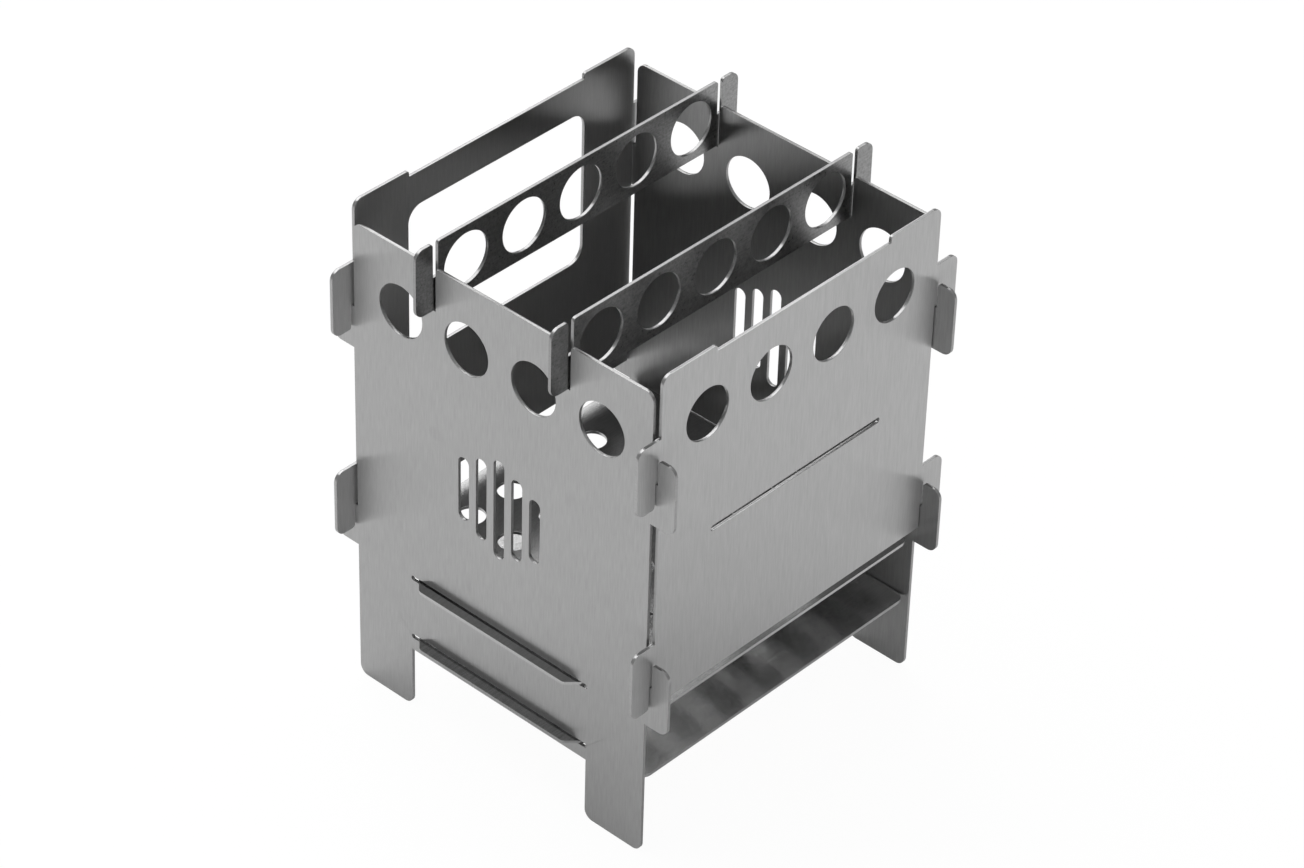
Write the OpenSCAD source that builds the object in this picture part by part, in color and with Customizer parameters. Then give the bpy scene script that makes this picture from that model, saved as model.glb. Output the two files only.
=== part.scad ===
// Plug-together box stove: laser-cut sheet walls that lock at the corners by slotted tabs,
// a fire grate and an ash pan plugged through slots, and two strips that carry the pot.
// The leg walls face -Y and +Y, the side walls face +X and -X. The feet stand on z = 0.

/* [Sheet and fits] */
// Thickness of every sheet
sheet_t = 1; // [0.8:0.1:1.5]
// Room on each side of a sheet that stands in an upright slot
slot_play = 0.45; // [0.35:0.05:0.7]
// Gap left under a piece that hangs in open slots
seat_gap = 0.3; // [0.2:0.05:0.5]
// Gap between the edge of a plate and the inner face of a leg wall
edge_gap = 0.35; // [0.3:0.05:0.8]
// Room above a plate in the lying slots that it is plugged through
tray_slot_room = 0.5; // [0.2:0.05:0.8]
// Room between the root of a plate's tab and each end of its slot
tray_slot_play = 1.6; // [0.8:0.1:3]
// Rounding of the free corners
corner_r = 3; // [1:0.5:4]
// Rounding of slot mouths and of the narrow ends beside them
mouth_r = 1; // [0.5:0.1:1.5]

/* [Plan] */
// Distance between the middle planes of the two leg walls
leg_wall_spacing = 110; // [100:1:130]
// Distance between the middle planes of the two side walls
side_wall_spacing = 111.4; // [106:0.2:130]
// Gap between the upright edge of a leg wall and the inner face of a side wall
leg_wall_side_gap = 0.8; // [0.4:0.1:1.5]
// Gap between the edge of a plate and the inner face of a side wall
plate_side_gap = 1.7; // [0.5:0.1:8]

/* [Leg walls] */
// Height of the leg walls, feet included
leg_wall_h = 155; // [150:1:170]
// Width of the opening between the two legs
arch_w = 66.8; // [50:1:80]
// Height of the opening between the two legs
arch_h = 20.5; // [10:0.5:22]
// Height of the underside of the ash pan
pan_z = 24.6; // [24:0.2:28]
// Height of the underside of the fire grate
grate_z = 45.4; // [43:0.2:48]

/* [Side walls] */
// How far the raised ends of the side walls stand above the leg walls
side_wall_rise = 5.4; // [2:0.2:10]
// Depth of the shallow recess in the top edge
recess_depth = 1.9; // [0.5:0.1:4]
// Width of the shallow recess in the top edge
recess_w = 67.6; // [40:1:80]

/* [Corner tabs] */
// Reach of the leg walls' tabs past the middle planes of the side walls
leg_tab_reach = 7; // [5:0.1:9]
// Reach of the side walls' tabs past the middle planes of the leg walls
side_tab_reach = 7.7; // [5:0.1:9]
// Height of every corner tab
tab_h = 21.6; // [20:0.1:24]
// Height of the lower edge of the leg walls' lower tabs
leg_tab_z = 46; // [44:0.2:48]
// How much higher a side wall's tab starts than the leg wall's tab that it crosses
tab_stagger = 6; // [4:0.2:10]
// Depth of the leg walls' upper tabs below the top edge
upper_tab_drop = 19.7; // [16:0.2:26]

/* [Vent holes] */
// Diameter of the round holes in the walls
wall_hole_d = 16.2; // [8:0.2:20]
// Room between the last hole of a leg wall and the wall's edge
leg_hole_margin = 9.6; // [6:0.1:14]
// Room between the last hole of a side wall and the wall's edge
side_hole_margin = 9.35; // [6:0.1:14]
// Depth of the holes' centres below the top edge
wall_hole_drop = 20.2; // [14:0.2:26]
// Diameter of the round holes in a pot support
support_hole_d = 16.4; // [8:0.2:18]
// Room between the last hole of a pot support and the notch beside it
support_hole_margin = 2.25; // [1.5:0.05:5]
// Number of holes in a pot support
support_hole_n = 5; // [1:1:5]

/* [Slotted vent] */
// Width of each upright slot of the vent in a leg wall
vent_slot_w = 4; // [2:0.5:5]
// Distance between neighbouring slots
vent_pitch = 6.6; // [6:0.1:8]
// Length of the middle slot
vent_slot_len = 33; // [20:1:38]
// How much shorter each slot is than its inner neighbour
vent_step = 6; // [0:1:8]
// Height of the middle of the vent as a share of the wall's height
vent_height_share = 0.568; // [0.54:0.002:0.6]

/* [Side wall openings] */
// Width of the feed window in the left side wall
window_w = 68.4; // [40:1:80]
// Depth of the feed window's upper edge below the raised ends of the wall
window_drop = 12.4; // [8:0.2:20]
// Height of the feed window
window_h = 50; // [30:1:52]
// Rounding of the feed window's corners
window_r = 5; // [2:0.5:10]
// Length of the narrow slot in the right side wall
plate_slot_len = 67.4; // [40:1:80]
// Height of the narrow slot
plate_slot_h = 1.8; // [1:0.1:4]
// Depth of the middle of the narrow slot below the raised ends of the wall
plate_slot_drop = 59.7; // [50:0.5:70]

/* [Pot supports] */
// Height of the strips
support_h = 21.3; // [19:0.1:24]
// Depth of the slots that the strips stand in
support_slot_depth = 13.7; // [8:0.1:14]
// Depth of the notch at each end of a strip
support_notch_depth = 10.8; // [6:0.2:12]
// Reach of a strip's hook past the middle plane of the leg wall
support_reach = 7.3; // [5:0.1:9]

/* [Grate and pan] */
// Length of the tabs that pass through the leg walls, where they leave the plate
tray_tab_len = 63.8; // [40:1:65]
// Reach of those tabs past the outer face of the leg wall
tray_tab_reach = 3.2; // [1.5:0.1:5]
// Rounding of the two blunt corners of those tabs
tray_tab_r = 2; // [0.5:0.5:3]
// Number of holes along each side of the grate
grate_hole_n = 6; // [2:1:6]
// Diameter of the holes in the grate
grate_hole_d = 8.6; // [4:0.2:10]
// Room between the last holes of the grate and its nearer edges
grate_hole_margin = 8.2; // [5:0.2:14]

/* [Hidden] */
$fn = 64;

// How far a cutting tool runs past the sheet that it cuts
overrun = 1;
// Angles between the sides of a square corner and of a tray tab's slanted end
square_turn = 90;
tray_tab_turn = 135;

half_t = sheet_t / 2;
leg_plane = leg_wall_spacing / 2;
side_plane = side_wall_spacing / 2;
side_wall_w = leg_wall_spacing - sheet_t - 2 * edge_gap;
leg_wall_w = side_wall_spacing - sheet_t - 2 * leg_wall_side_gap;
plate_l = side_wall_w;
plate_w = side_wall_spacing - sheet_t - 2 * plate_side_gap;
slot_half = half_t + slot_play;

// The side walls' lower tabs start at the wall's lower edge
side_wall_z = leg_tab_z + tab_stagger;
side_wall_top = leg_wall_h + side_wall_rise;
tab_rise = leg_wall_h - upper_tab_drop - tab_h - leg_tab_z;
// The tabs of two walls cross over this height, and each wall is slotted over half of it
tab_cross_h = tab_h - tab_stagger;
tab_slot_depth = (tab_cross_h + seat_gap) / 2;

tray_slot_h = sheet_t + tray_slot_room;
tray_slot_len = tray_tab_len + 2 * tray_slot_play;

vent_slot_n = 5;
wall_hole_n = 4;
// The pot supports stand between the first two and the last two holes of the leg walls
leg_hole_pitch = hole_pitch(leg_wall_w, leg_hole_margin, wall_hole_d, wall_hole_n);
support_x = leg_hole_pitch * (wall_hole_n - 2) / 2;
support_slot_z = leg_wall_h - support_slot_depth;

steel = [0.66, 0.66, 0.66];

// Pitch at which n holes of diameter d fill a width and leave a margin at both ends
function hole_pitch(width, margin, d, n) = (width - 2 * margin - d) / max(n - 1, 1);

// Centres of n places in a row at a pitch, on both sides of zero
function row(n, pitch) = [for (i = [0:n - 1]) (i - (n - 1) / 2) * pitch];

// Tool that rounds one corner of an outline: at is the corner, turn the angle between its two
// sides, and inward the direction from the corner into the sheet
module corner_tool(at, inward, r, turn = square_turn) {
    half = turn / 2;
    run = r / tan(half);
    side = [run * cos(half), run * sin(half)];
    lift = overrun * [-sin(half), cos(half)];
    deep = r / sin(half);
    translate(at) rotate(inward) difference() {
        polygon([[deep, 0], side, side + lift, [-overrun / sin(half), 0],
                 [side[0] + lift[0], -side[1] - lift[1]], [side[0], -side[1]]]);
        translate([deep, 0]) circle(r);
    }
}

// Rectangle with rounded corners about its own centre
module rounded_rect(w, h, r) {
    square([w - 2 * r, h], center = true);
    square([w, h - 2 * r], center = true);
    for (x = [-1, 1], y = [-1, 1])
        translate([x * (w / 2 - r), y * (h / 2 - r)]) circle(r);
}

// Slot with round ends, along x about its own centre
module round_slot(len, w) {
    square([len - w, w], center = true);
    for (x = [-1, 1])
        translate([x * (len - w) / 2, 0]) circle(d = w);
}

// Corner tab on the right of a wall: body_x is the wall's edge, tip_x the tab's far end and z its
// lower edge. It starts inside the wall.
module tab_blank(body_x, tip_x, z) {
    translate([body_x - corner_r, z]) square([tip_x - body_x + corner_r, tab_h]);
}

// Slot and rounded corners of that tab. cross_x is the plane of the wall that it crosses, and the
// slot is open at the top or at the bottom.
module tab_tools(body_x, cross_x, tip_x, z, open_top) {
    mouth = cross_x + slot_half;
    top = z + tab_h;
    slot_z = open_top ? top - tab_slot_depth : z - overrun;
    translate([body_x, slot_z]) square([mouth - body_x, tab_slot_depth + overrun]);
    corner_tool([tip_x, top], -135, corner_r);
    corner_tool([tip_x, z], 135, corner_r);
    if (open_top) {
        corner_tool([mouth, top], -45, mouth_r);
    } else {
        corner_tool([mouth, z], 45, mouth_r);
    }
}

// A copy on the right and a mirrored one on the left
module both_sides() {
    children();
    mirror([1, 0]) children();
}

// Both tabs of a wall's right edge are placed by the same rise
module tab_pair_blank(body_x, tip_x, z) {
    tab_blank(body_x, tip_x, z);
    tab_blank(body_x, tip_x, z + tab_rise);
}

module tab_pair_tools(body_x, cross_x, tip_x, z, open_top) {
    tab_tools(body_x, cross_x, tip_x, z, open_top);
    tab_tools(body_x, cross_x, tip_x, z + tab_rise, open_top);
}

module wall_holes(pitch, top) {
    for (x = row(wall_hole_n, pitch))
        translate([x, top - wall_hole_drop]) circle(d = wall_hole_d);
}

// Slot for a plate's tab, with the plate lying on its lower side
module tray_slot(plate_z) {
    translate([0, plate_z + tray_slot_h / 2]) round_slot(tray_slot_len, tray_slot_h);
}

module vent_slots() {
    for (x = row(vent_slot_n, vent_pitch)) {
        len = vent_slot_len - vent_step * abs(x) / vent_pitch;
        translate([x, vent_height_share * leg_wall_h]) rotate(square_turn) round_slot(len, vent_slot_w);
    }
}

// Slot for a pot support, open at the top edge
module support_slot() {
    translate([support_x - slot_half, support_slot_z])
        square([2 * slot_half, support_slot_depth + overrun]);
    corner_tool([support_x - slot_half, leg_wall_h], -135, mouth_r);
    corner_tool([support_x + slot_half, leg_wall_h], -45, mouth_r);
}

// Leg wall seen from the front, x to the right and z up
module leg_wall_outline() {
    edge = leg_wall_w / 2;
    tip = side_plane + leg_tab_reach;
    difference() {
        union() {
            translate([-edge, 0]) square([leg_wall_w, leg_wall_h]);
            both_sides() tab_pair_blank(edge, tip, leg_tab_z);
        }
        translate([-arch_w / 2, -overrun]) square([arch_w, arch_h + overrun]);
        both_sides() {
            tab_pair_tools(edge, side_plane, tip, leg_tab_z, true);
            corner_tool([edge, leg_wall_h], -135, corner_r);
            corner_tool([edge, 0], 135, corner_r);
            corner_tool([arch_w / 2, 0], 45, corner_r);
            support_slot();
        }
        wall_holes(leg_hole_pitch, leg_wall_h);
        vent_slots();
        tray_slot(pan_z);
        tray_slot(grate_z);
    }
}

// Side wall seen from the right, y to the right and z up
module side_wall_outline() {
    edge = side_wall_w / 2;
    tip = leg_plane + side_tab_reach;
    half_recess = recess_w / 2;
    recess_z = side_wall_top - recess_depth;
    step_r = min(mouth_r, recess_depth / 2);
    difference() {
        union() {
            translate([-edge, side_wall_z]) square([side_wall_w, side_wall_top - side_wall_z]);
            both_sides() tab_pair_blank(edge, tip, side_wall_z);
        }
        translate([-half_recess, recess_z]) square([recess_w, recess_depth + overrun]);
        both_sides() {
            tab_pair_tools(edge, leg_plane, tip, side_wall_z, false);
            corner_tool([edge, side_wall_top], -135, corner_r);
            corner_tool([half_recess, side_wall_top], -45, step_r);
        }
    }
}

// Stands an outline up as a sheet whose middle plane is y = 0
module upright(t = sheet_t) {
    rotate([square_turn, 0, 0]) linear_extrude(t, center = true) children();
}

module leg_wall() {
    color(steel) upright() leg_wall_outline();
}

module front_leg_wall() {
    translate([0, -leg_plane, 0]) leg_wall();
}

module rear_leg_wall() {
    translate([0, leg_plane, 0]) leg_wall();
}

// The right side wall has the row of holes and the narrow slot for an inserted plate
module right_side_wall() {
    pitch = hole_pitch(side_wall_w, side_hole_margin, wall_hole_d, wall_hole_n);
    color(steel) translate([side_plane, 0, 0]) rotate(square_turn) upright() difference() {
        side_wall_outline();
        wall_holes(pitch, side_wall_top);
        translate([0, side_wall_top - plate_slot_drop]) round_slot(plate_slot_len, plate_slot_h);
    }
}

// The left side wall has the feed window for wood
module left_side_wall() {
    color(steel) translate([-side_plane, 0, 0]) rotate(square_turn) upright() difference() {
        side_wall_outline();
        translate([0, side_wall_top - window_drop - window_h / 2])
            rounded_rect(window_w, window_h, window_r);
    }
}

// Plate that the grate and the pan share, seen from above. The ends of its tabs slant inwards at
// 45 degrees from the plate's edge, and the two blunt corners of each tab are rounded.
module plate_outline() {
    edge_x = plate_w / 2;
    edge_y = plate_l / 2;
    tip_y = leg_plane + half_t + tray_tab_reach;
    root_x = tray_tab_len / 2;
    tip_x = root_x - (tip_y - edge_y);
    difference() {
        polygon([[edge_x, -edge_y], [edge_x, edge_y], [root_x, edge_y], [tip_x, tip_y],
                 [-tip_x, tip_y], [-root_x, edge_y], [-edge_x, edge_y], [-edge_x, -edge_y],
                 [-root_x, -edge_y], [-tip_x, -tip_y], [tip_x, -tip_y], [root_x, -edge_y]]);
        for (side = [0, 1]) mirror([0, side]) both_sides() {
            corner_tool([edge_x, edge_y], -135, corner_r);
            corner_tool([tip_x, tip_y], tray_tab_turn / 2 - 180, tray_tab_r, tray_tab_turn);
        }
    }
}

module fire_grate() {
    pitch = hole_pitch(min(plate_w, plate_l), grate_hole_margin, grate_hole_d, grate_hole_n);
    places = row(grate_hole_n, pitch);
    color(steel) translate([0, 0, grate_z]) linear_extrude(sheet_t) difference() {
        plate_outline();
        for (x = places, y = places)
            translate([x, y]) circle(d = grate_hole_d);
    }
}

module ash_pan() {
    color(steel) translate([0, 0, pan_z]) linear_extrude(sheet_t) plate_outline();
}

// Pot support seen from the right, y to the right and z up
module support_outline() {
    outer = leg_plane + support_reach;
    bottom = support_slot_z + seat_gap;
    top = bottom + support_h;
    inner_l = 2 * (leg_plane - slot_half);
    pitch = hole_pitch(inner_l, support_hole_margin, support_hole_d, support_hole_n);
    difference() {
        translate([-outer, bottom]) square([2 * outer, support_h]);
        both_sides() {
            translate([leg_plane - slot_half, top - support_notch_depth])
                square([2 * slot_half, support_notch_depth + overrun]);
            corner_tool([outer, top], -135, corner_r);
            corner_tool([outer, bottom], 135, corner_r);
            corner_tool([leg_plane + slot_half, top], -45, mouth_r);
            corner_tool([leg_plane - slot_half, top], -135, mouth_r);
        }
        for (y = row(support_hole_n, pitch))
            translate([y, bottom + support_h / 2]) circle(d = support_hole_d);
    }
}

module pot_support(x) {
    color(steel) translate([x, 0, 0]) rotate(square_turn) upright() support_outline();
}

module left_pot_support() {
    pot_support(-support_x);
}

module right_pot_support() {
    pot_support(support_x);
}

front_leg_wall();
rear_leg_wall();
right_side_wall();
left_side_wall();
fire_grate();
ash_pan();
left_pot_support();
right_pot_support();
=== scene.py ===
import bpy
import math
from mathutils import Matrix, Vector

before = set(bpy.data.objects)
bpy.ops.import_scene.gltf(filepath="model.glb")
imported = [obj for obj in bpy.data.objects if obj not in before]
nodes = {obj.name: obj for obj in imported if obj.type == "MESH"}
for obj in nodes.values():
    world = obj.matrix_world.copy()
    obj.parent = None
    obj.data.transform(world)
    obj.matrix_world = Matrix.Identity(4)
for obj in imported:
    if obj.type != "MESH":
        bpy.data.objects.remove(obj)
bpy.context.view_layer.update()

mm = 0.001


# a long lens, a little rolled, as the photograph was taken
view = {
    "place": (680.1, -751.4, 853.0),  # mm
    "azimuth": 41.973,
    "elevation": 37.195,
    "roll": 1.741,
    "focal": 128.11,
    "sensor": 36.0,
    "near": 0.05,            # metres that the camera sees from and to
    "far": 30.0,
}


def placeCamera():
    data = bpy.data.cameras.new("camera")
    data.lens = view["focal"]
    data.sensor_width = view["sensor"]
    data.sensor_fit = "HORIZONTAL"
    data.clip_start = view["near"]
    data.clip_end = view["far"]
    cam = bpy.data.objects.new("camera", data)
    turn = (Matrix.Rotation(math.radians(view["azimuth"]), 4, "Z")
            @ Matrix.Rotation(math.radians(90 - view["elevation"]), 4, "X")
            @ Matrix.Rotation(math.radians(view["roll"]), 4, "Z"))
    cam.matrix_world = Matrix.Translation(Vector(view["place"]) * mm) @ turn
    bpy.context.scene.collection.objects.link(cam)
    bpy.context.scene.camera = cam


placeCamera()
print("camera placed")


# shader maths: an expression on sockets adds its Math nodes
class Sock:
    def __init__(self, tree, link):
        self.tree = tree
        self.link = link

    def maths(self, operation, other=None, first=False):
        values = [self] if other is None else ([other, self] if first else [self, other])
        return self.tree.add("ShaderNodeMath", {"operation": operation}, dict(enumerate(values)))

    def __add__(self, other):
        return self.maths("ADD", other)

    def __radd__(self, other):
        return self.maths("ADD", other, True)

    def __sub__(self, other):
        return self.maths("SUBTRACT", other)

    def __rsub__(self, other):
        return self.maths("SUBTRACT", other, True)

    def __mul__(self, other):
        return self.maths("MULTIPLY", other)

    def __rmul__(self, other):
        return self.maths("MULTIPLY", other, True)

    def __abs__(self):
        return self.maths("ABSOLUTE")


class Tree:
    def __init__(self, owner):
        owner.use_nodes = True
        self.nodes = owner.node_tree.nodes
        self.links = owner.node_tree.links
        self.nodes.clear()

    # any node: its type, its settings, the values or links of its sockets, and the output wanted
    def add(self, kind, settings=None, sockets=None, out=0):
        node = self.nodes.new(kind)
        for name, value in (settings or {}).items():
            if name == "stops":
                ramp = node.color_ramp
                for place, (at, colour) in enumerate(value):
                    stop = ramp.elements[place] if place < 2 else ramp.elements.new(at)
                    stop.position = at
                    stop.color = (colour, colour, colour, 1)
            else:
                setattr(node, name, value)
        for name, value in (sockets or {}).items():
            if isinstance(value, Sock):
                self.links.new(value.link, node.inputs[name])
            else:
                node.inputs[name].default_value = value
        return Sock(self, node.outputs[out])

    def mixColour(self, amount, low, high):
        settings = {"data_type": "RGBA"}
        return self.add("ShaderNodeMix", settings, {0: amount, 6: low, 7: high}, 2)

    def scaled(self, vector, scale):
        return self.add("ShaderNodeVectorMath", {"operation": "MULTIPLY"}, {0: vector, 1: scale})

    def noise(self, vector, scale=1.0, detail=2.0, rough=0.5):
        sockets = {"Vector": vector, "Scale": scale, "Detail": detail, "Roughness": rough}
        return self.add("ShaderNodeTexNoise", {}, sockets)

    def ramp(self, value, stops):
        return self.add("ShaderNodeValToRGB", {"stops": stops}, {0: value})

    def finish(self, shader, kind="ShaderNodeOutputMaterial"):
        out = self.nodes.new(kind)
        self.links.new(shader.link, out.inputs["Surface"])


def grey(value):
    return (value, value, value, 1)


# noise from 0 to 1 as a swing to both sides
def swing(noise, amount):
    return (noise - 0.5) * (2 * amount)


# noise scales that draw lines along the grain axis, the same all through the sheet
def lineScale(fine, long, thin, grain):
    scale = [fine] * 3
    scale[grain] = long
    scale[thin] = 1.0
    return scale


# brushed stainless: a plain wall first, then what differs on each kind of sheet
wallSteel = {
    "tone": 0.362,
    "toneCloud": 0.02,       # how much the tone drifts over the sheet
    "toneGrain": 0.065,
    "cutTone": 0.32,         # laser-cut edges
    "rough": 0.31,
    "roughGrain": 0.03,
    "roughCloud": 0.02,
    "cloudScale": 28.0,
    "anisotropy": 1.0,
    "turned": 0.0,           # how far the brushing is turned, 1 is all the way round
    "grainFine": 16000.0,    # lines per metre across the brushing
    "grainLong": 120.0,      # and along it
    "streakFine": 2400.0,    # the same for the coarser streaks
    "streakLong": 160.0,
    "grainBump": 0.01,
    "grainDepth": 0.00002,   # metres
    "throw": 0.0,            # how far the brushing throws light to its sides
    "throwStretch": 3,       # length of its flecks over their width
    "mottle": 0.0,           # blotches of the rolled skin
    "blotchScale": 1300.0,
    "paintedTabShade": 0.0,          # painted shade: how much darker a plate's tabs are painted than its body
    "tabStart": 0.0545,      # metres from the middle to the leg walls' inner faces
    "smudge": None,          # a finger mark
}
frontSteel = dict(wallSteel, smudge={
    "place": (-0.0236, -0.0555, 0.101),
    "radius": 0.0024,
    "depth": 0.02,
    "core": 0.3,             # where it starts to fade and where it ends, in diameters
    "rim": 0.6,
})
# painted shade: the rear leg wall's steel is painted darker than the front's, for the shade on
# its inner face inside the stove
rearSteelPaintedShade = dict(wallSteel, tone=0.325)
# painted light: the side walls' steel and cut edges are painted lighter than the leg walls', for
# the brighter light that falls on the right side wall
sideSteelPaintedLight = dict(wallSteel, tone=0.416, cutTone=0.36)
grateSteel = dict(wallSteel, tone=0.35, cutTone=0.41, rough=0.18, anisotropy=0.0, throw=0.12,
                  mottle=0.03, paintedTabShade=0.05)
# painted light: the ash pan's tone is about twice the grate's, for the light that reaches it
# inside the stove; its tabs outside the walls are painted back down
panSteelPaintedLight = dict(grateSteel, tone=0.69, toneGrain=0.14, cutTone=0.28, rough=0.12, roughGrain=0.1,
                throw=0.64, paintedTabShade=0.4)
supportSteel = dict(wallSteel, tone=0.24, cutTone=0.27, rough=0.33, anisotropy=0.5, turned=0.25,
                    mottle=0.13)
cutEdge = {
    "toneLines": 0.1,        # marks of the cutting across the laser-cut edges
    "rough": 0.3,
    "lines": 7000.0,
    "linesThrough": 300.0,   # the same through the sheet
    "faceFrom": 0.75,        # how squarely a facet faces out where the rolled face starts
    "faceFull": 0.95,
    "arris": 0.07,           # mm of burr rounded off along each edge
    "arrisSteps": 2,
    "arrisAngle": 35,        # degrees, gentler edges stay as they are
    "weld": 0.001,           # mm
}


# thin is the axis through the sheet, grain the one along the brushing, across the third
def brushedSteel(name, finish, thin, grain, seed):
    mat = bpy.data.materials.new(name)
    tree = Tree(mat)
    across = 3 - thin - grain
    axes = [(1.0, 0.0, 0.0), (0.0, 1.0, 0.0), (0.0, 0.0, 1.0)]
    where = tree.add("ShaderNodeTexCoord", {}, {}, "Object")
    shifted = tree.add("ShaderNodeVectorMath", {"operation": "ADD"},
                       {0: where, 1: (seed, seed, seed)})
    fine = lineScale(finish["grainFine"], finish["grainLong"], thin, grain)
    grainNoise = tree.noise(tree.scaled(shifted, fine))
    coarse = lineScale(finish["streakFine"], finish["streakLong"], thin, grain)
    streaks = tree.noise(tree.scaled(shifted, coarse), rough=0.6)
    cloud = tree.noise(shifted, finish["cloudScale"], 3.0, 0.55)
    blotch = tree.noise(shifted, finish["blotchScale"], rough=0.6)
    normal = tree.add("ShaderNodeNewGeometry", {}, {}, "True Normal")
    facing = abs(tree.add("ShaderNodeVectorMath", {"operation": "DOT_PRODUCT"},
                          {0: normal, 1: axes[thin]}, "Value"))
    # 1 on the rolled faces, 0 on the cut edges
    face = tree.ramp(facing, [(cutEdge["faceFrom"], 0), (cutEdge["faceFull"], 1)])
    lines = [cutEdge["lines"]] * 3
    lines[thin] = cutEdge["linesThrough"]
    cutNoise = tree.noise(tree.scaled(where, lines))

    sheetTone = (finish["tone"] + swing(cloud, finish["toneCloud"])
                 + swing(streaks, finish["toneGrain"]) + swing(blotch, finish["mottle"]))
    # painted shade: the plates' tabs outside the leg walls are painted darker than their body;
    # on the ash pan this takes the body's painted light off its tabs
    if finish["paintedTabShade"]:
        along = tree.add("ShaderNodeSeparateXYZ", {}, {0: where}, 1)
        tabShadeMask = abs(along).maths("GREATER_THAN", finish["tabStart"])
        sheetTone = sheetTone - tabShadeMask * finish["paintedTabShade"]
    if finish["smudge"]:
        mark = finish["smudge"]
        away = tree.add("ShaderNodeVectorMath", {"operation": "DISTANCE"},
                        {0: where, 1: mark["place"]}, "Value")
        stops = [(mark["core"], mark["depth"]), (mark["rim"], 0)]
        sheetTone = sheetTone - tree.ramp(away * (0.5 / mark["radius"]), stops)
    cutTone = finish["cutTone"] + swing(cutNoise, cutEdge["toneLines"])
    colour = tree.mixColour(face, tree.mixColour(cutTone, grey(0), grey(1)),
                            tree.mixColour(sheetTone, grey(0), grey(1)))
    sheetRough = (finish["rough"] + swing(grainNoise, finish["roughGrain"])
                  + swing(cloud, finish["roughCloud"]) + swing(blotch, finish["mottle"]))
    rough = cutEdge["rough"] + face * (sheetRough - cutEdge["rough"])
    height = face * grainNoise + (1 - face) * cutNoise
    bump = tree.add("ShaderNodeBump", {}, {
        "Strength": finish["grainBump"], "Distance": finish["grainDepth"], "Height": height})
    if finish["throw"]:
        flecks = lineScale(finish["grainFine"], finish["grainFine"] / finish["throwStretch"],
                           thin, grain)
        swayNoise = tree.noise(tree.scaled(shifted, flecks), detail=1.0)
        # the noise seldom leaves its middle half, so twice the swing reaches the throw
        lean = swing(swayNoise, 2 * finish["throw"]) * face
        sway = tree.add("ShaderNodeVectorMath", {"operation": "SCALE"},
                        {0: axes[across], "Scale": lean})
        leaning = tree.add("ShaderNodeVectorMath", {"operation": "ADD"}, {0: bump, 1: sway})
        bump = tree.add("ShaderNodeVectorMath", {"operation": "NORMALIZE"}, {0: leaning})
    shader = tree.add("ShaderNodeBsdfPrincipled", {}, {
        "Base Color": colour, "Metallic": 1.0, "Roughness": rough,
        "Anisotropic": finish["anisotropy"], "Anisotropic Rotation": finish["turned"],
        "Normal": bump})
    tree.finish(shader)
    return mat


sheets = {
    # finish, axis through the sheet, axis of the brushing, seed
    "front_leg_wall": (frontSteel, 1, 2, 0.11),
    "rear_leg_wall": (rearSteelPaintedShade, 1, 2, 0.37),
    "right_side_wall": (sideSteelPaintedLight, 0, 2, 0.53),
    "left_side_wall": (sideSteelPaintedLight, 0, 2, 0.71),
    "fire_grate": (grateSteel, 2, 1, 0.23),
    "ash_pan": (panSteelPaintedLight, 2, 1, 0.67),
    "left_pot_support": (supportSteel, 0, 1, 0.83),
    "right_pot_support": (supportSteel, 0, 1, 0.97),
}


def dressSheet(name, finish, thin, grain, seed):
    piece = nodes[name]
    mat = brushedSteel("steel_" + name, finish, thin, grain, seed)
    for place in range(len(piece.material_slots)):
        piece.material_slots[place].material = mat
    weld = piece.modifiers.new("weld", "WELD")
    weld.merge_threshold = cutEdge["weld"] * mm
    bevel = piece.modifiers.new("arris", "BEVEL")
    bevel.width = cutEdge["arris"] * mm
    bevel.segments = cutEdge["arrisSteps"]
    bevel.limit_method = "ANGLE"
    bevel.angle_limit = math.radians(cutEdge["arrisAngle"])
    bevel.use_clamp_overlap = False
    bevel.harden_normals = True


for name, (finish, thin, grain, seed) in sheets.items():
    dressSheet(name, finish, thin, grain, seed)
print("sheets dressed")


# floor and studio
studio = {
    "floorSize": 8.0,
    "floorColour": 0.93,
    "seenWhite": 0.96,       # share of plain white that the camera sees
    "mirroredWhite": 0.16,    # and that the sheets mirror
    "skyLow": 0.4,
    "skyHigh": 0.6,
    "skyTop": 0.9,           # height at which the sky reaches its high tone
    "softboxes": [
        # name, place, aim, width, height, watts
        ("overhead", (-1.1, 0.15, 1.6), (0, 0, 0.08), 1.9, 2.6, 41.5),
        ("backGlow", (-1.5, 1.6, 1.5), (0, 0, 0.08), 1.4, 1.0, 5.0),
    ],
}


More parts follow.
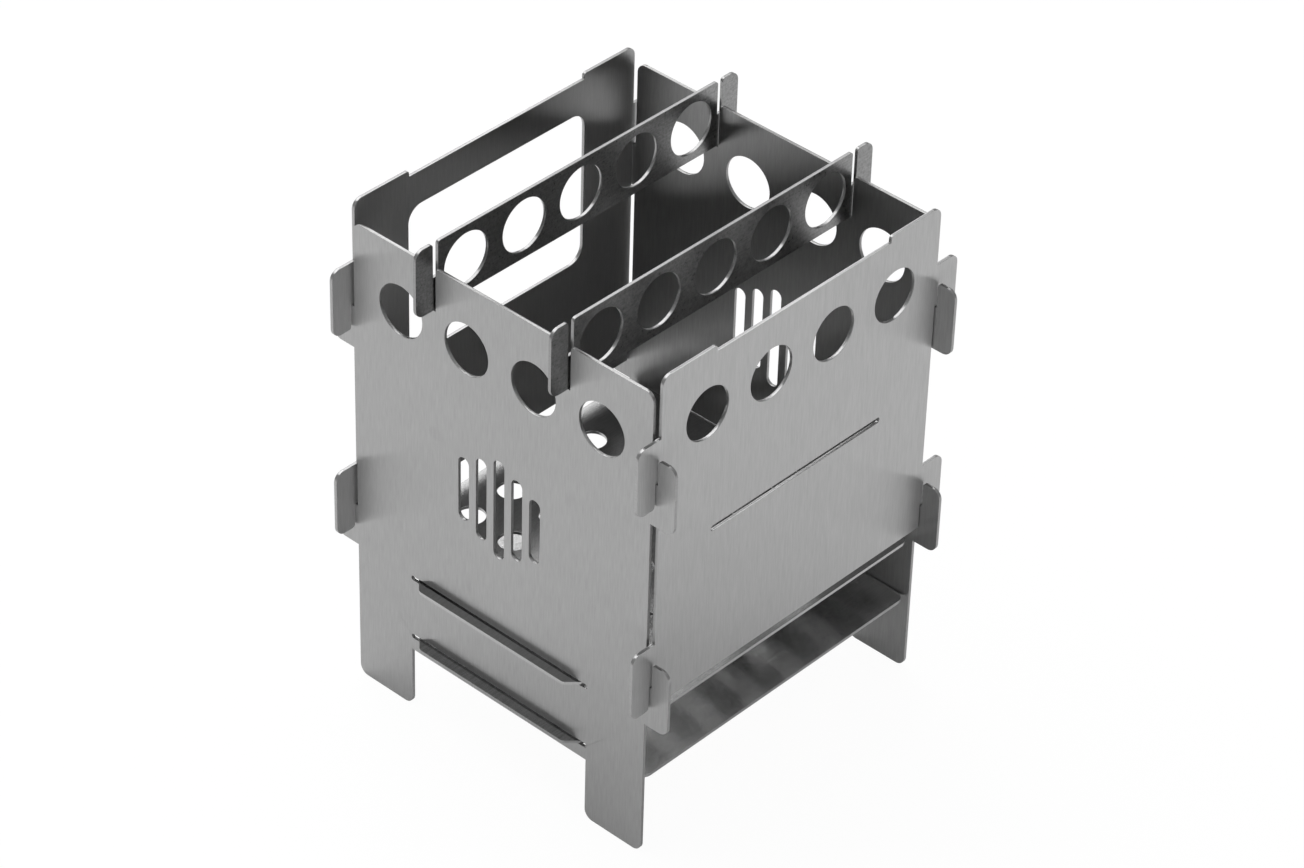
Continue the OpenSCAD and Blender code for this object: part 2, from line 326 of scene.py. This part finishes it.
def makeFloor():
    half = studio["floorSize"] / 2
    mesh = bpy.data.meshes.new("floor")
    corners = [(-half, -half, 0), (half, -half, 0), (half, half, 0), (-half, half, 0)]
    mesh.from_pydata(corners, [], [(0, 1, 2, 3)])
    floor = bpy.data.objects.new("floor", mesh)
    bpy.context.scene.collection.objects.link(floor)
    mat = bpy.data.materials.new("paleFloor")
    tree = Tree(mat)
    lit = tree.add("ShaderNodeBsdfDiffuse", {}, {"Color": grey(studio["floorColour"])})
    white = tree.add("ShaderNodeEmission", {}, {"Color": grey(1), "Strength": 1.0})
    seen = tree.add("ShaderNodeLightPath", {}, {}, "Is Camera Ray")
    mirrored = tree.add("ShaderNodeLightPath", {}, {}, "Is Glossy Ray")
    share = seen * studio["seenWhite"] + mirrored * studio["mirroredWhite"]
    tree.finish(tree.add("ShaderNodeMixShader", {}, {0: share, 1: lit, 2: white}))
    mesh.materials.append(mat)


def makeSky():
    world = bpy.data.worlds.new("studio")
    bpy.context.scene.world = world
    tree = Tree(world)
    towards = tree.add("ShaderNodeTexCoord", {}, {}, "Generated")
    up = tree.add("ShaderNodeSeparateXYZ", {}, {0: towards}, 2)
    glow = tree.ramp(up, [(0.0, studio["skyLow"]), (studio["skyTop"], studio["skyHigh"])])
    light = tree.add("ShaderNodeBackground", {}, {"Color": glow, "Strength": 1.0})
    white = tree.add("ShaderNodeBackground", {}, {"Color": grey(1), "Strength": 1.0})
    seen = tree.add("ShaderNodeLightPath", {}, {}, "Is Camera Ray")
    tree.finish(tree.add("ShaderNodeMixShader", {}, {0: seen, 1: light, 2: white}),
                "ShaderNodeOutputWorld")


def hangSoftboxes():
    for name, place, aim, width, height, watts in studio["softboxes"]:
        data = bpy.data.lights.new(name, "AREA")
        data.shape = "RECTANGLE"
        data.size = width
        data.size_y = height
        data.energy = watts
        lamp = bpy.data.objects.new(name, data)
        lamp.location = place
        beam = Vector(aim) - Vector(place)
        lamp.rotation_euler = beam.to_track_quat("-Z", "Y").to_euler()
        bpy.context.scene.collection.objects.link(lamp)


makeFloor()
makeSky()
hangSoftboxes()
bpy.context.scene.view_settings.view_transform = "Standard"
print("studio lit")
